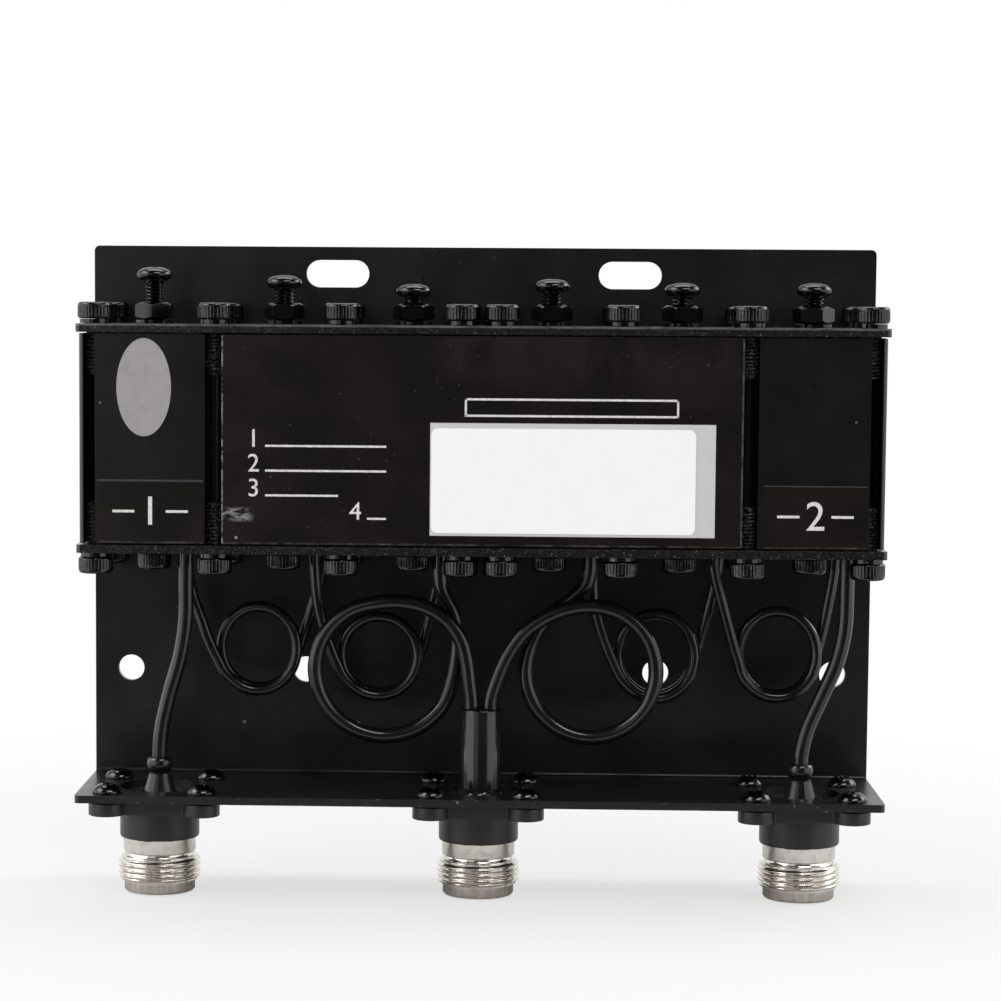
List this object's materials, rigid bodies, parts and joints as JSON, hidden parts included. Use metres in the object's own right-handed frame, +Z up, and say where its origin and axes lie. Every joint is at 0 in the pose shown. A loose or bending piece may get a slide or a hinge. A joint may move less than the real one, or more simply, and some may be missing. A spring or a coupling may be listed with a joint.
{
  "type": "cavity duplexer",
  "caption": "Cavity duplexer: helix-filled metal filter box with screw tuning on a folded wall bracket, looped coaxial leads and flanged coaxial sockets below.",
  "frame": {"origin": "middle of the bracket plate's rear face, at half the plate's height", "axes": "+X to the right seen from the front, +Y into the wall, +Z up"},
  "size_m": [0.155, 0.032, 0.1259],
  "materials": {
    "black_paint": "semi-gloss black paint",
    "label_film": "gloss film",
    "black_screw": "black oxide, lightly oiled",
    "helix_silver": "silver plate",
    "nickel_plate": "bright nickel plate, black paint on the flange and neck",
    "insulator_white": "smooth",
    "contact_gold": "gold plate",
    "lead_black": "gloss black paint"
  },
  "bodies": {
    "chassis": {"mounting_bracket": "black_paint", "cavity_block_low": "black_paint", "cavity_block_high": "black_paint", "top_cover": "black_paint", "bottom_cover": "black_paint", "front_label_plate": "label_film", "cover_screw_front_1": "black_screw", "cover_screw_front_2": "black_screw", "cover_screw_front_3": "black_screw", "cover_screw_front_4": "black_screw", "cover_screw_front_5": "black_screw", "cover_screw_front_6": "black_screw", "cover_screw_front_7": "black_screw", "cover_screw_front_8": "black_screw", "cover_screw_back_1": "black_screw", "cover_screw_back_2": "black_screw", "cover_screw_back_3": "black_screw", "cover_screw_back_4": "black_screw", "cover_screw_back_5": "black_screw", "cover_screw_back_6": "black_screw", "cover_screw_back_7": "black_screw", "cover_screw_back_8": "black_screw", "resonator_helix_1": "helix_silver", "resonator_helix_2": "helix_silver", "resonator_helix_3": "helix_silver", "resonator_helix_4": "helix_silver", "resonator_helix_5": "helix_silver", "resonator_helix_6": "helix_silver", "connector_body_low": "nickel_plate", "connector_insulator_low": "insulator_white", "connector_contact_low": "contact_gold", "connector_body_antenna": "nickel_plate", "connector_insulator_antenna": "insulator_white", "connector_contact_antenna": "contact_gold", "connector_body_high": "nickel_plate", "connector_insulator_high": "insulator_white", "connector_contact_high": "contact_gold", "cable_ferrule_low": "black_paint", "cable_ferrule_high": "black_paint", "antenna_cable_sleeve": "black_paint", "port_cable_low": "lead_black", "port_cable_high": "lead_black", "antenna_cable_low": "lead_black", "antenna_cable_high": "lead_black", "coupling_cable_1": "lead_black", "coupling_cable_2": "lead_black", "coupling_cable_3": "lead_black", "coupling_cable_4": "lead_black"},
    "tuning_screw_1": {"tuning_screw_1": "black_screw"},
    "tuning_screw_2": {"tuning_screw_2": "black_screw"},
    "tuning_screw_3": {"tuning_screw_3": "black_screw"},
    "tuning_screw_4": {"tuning_screw_4": "black_screw"},
    "tuning_screw_5": {"tuning_screw_5": "black_screw"},
    "tuning_screw_6": {"tuning_screw_6": "black_screw"},
    "lock_nut_1": {"lock_nut_1": "black_screw"},
    "lock_nut_2": {"lock_nut_2": "black_screw"},
    "lock_nut_3": {"lock_nut_3": "black_screw"},
    "lock_nut_4": {"lock_nut_4": "black_screw"},
    "lock_nut_5": {"lock_nut_5": "black_screw"},
    "lock_nut_6": {"lock_nut_6": "black_screw"}
  },
  "joints": [
    {"name": "tuning_screw_1_travel", "type": "slide", "parent": "chassis", "child": "tuning_screw_1", "axis": [0, 0, 1], "range_m": [-0.0039, 0.005]},
    {"name": "tuning_screw_2_travel", "type": "slide", "parent": "chassis", "child": "tuning_screw_2", "axis": [0, 0, 1], "range_m": [-0.0025, 0.005]},
    {"name": "tuning_screw_3_travel", "type": "slide", "parent": "chassis", "child": "tuning_screw_3", "axis": [0, 0, 1], "range_m": [-0.001, 0.005]},
    {"name": "tuning_screw_4_travel", "type": "slide", "parent": "chassis", "child": "tuning_screw_4", "axis": [0, 0, 1], "range_m": [-0.0021, 0.005]},
    {"name": "tuning_screw_5_travel", "type": "slide", "parent": "chassis", "child": "tuning_screw_5", "axis": [0, 0, 1], "range_m": [-0.0015, 0.005]},
    {"name": "tuning_screw_6_travel", "type": "slide", "parent": "chassis", "child": "tuning_screw_6", "axis": [0, 0, 1], "range_m": [-0.0016, 0.005]},
    {"name": "lock_nut_1_turn", "type": "hinge", "parent": "chassis", "child": "lock_nut_1", "pos_m": [-0.06375, -0.01657, 0.0408], "axis": [0, 0, 1], "range_deg": [0, 180]},
    {"name": "lock_nut_2_turn", "type": "hinge", "parent": "chassis", "child": "lock_nut_2", "pos_m": [-0.03855, -0.01657, 0.0408], "axis": [0, 0, 1], "range_deg": [0, 180]},
    {"name": "lock_nut_3_turn", "type": "hinge", "parent": "chassis", "child": "lock_nut_3", "pos_m": [-0.01335, -0.01657, 0.0408], "axis": [0, 0, 1], "range_deg": [0, 180]},
    {"name": "lock_nut_4_turn", "type": "hinge", "parent": "chassis", "child": "lock_nut_4", "pos_m": [0.01335, -0.01657, 0.0408], "axis": [0, 0, 1], "range_deg": [0, 180]},
    {"name": "lock_nut_5_turn", "type": "hinge", "parent": "chassis", "child": "lock_nut_5", "pos_m": [0.03855, -0.01657, 0.0408], "axis": [0, 0, 1], "range_deg": [0, 180]},
    {"name": "lock_nut_6_turn", "type": "hinge", "parent": "chassis", "child": "lock_nut_6", "pos_m": [0.06375, -0.01657, 0.0408], "axis": [0, 0, 1], "range_deg": [0, 180]}
  ]
}
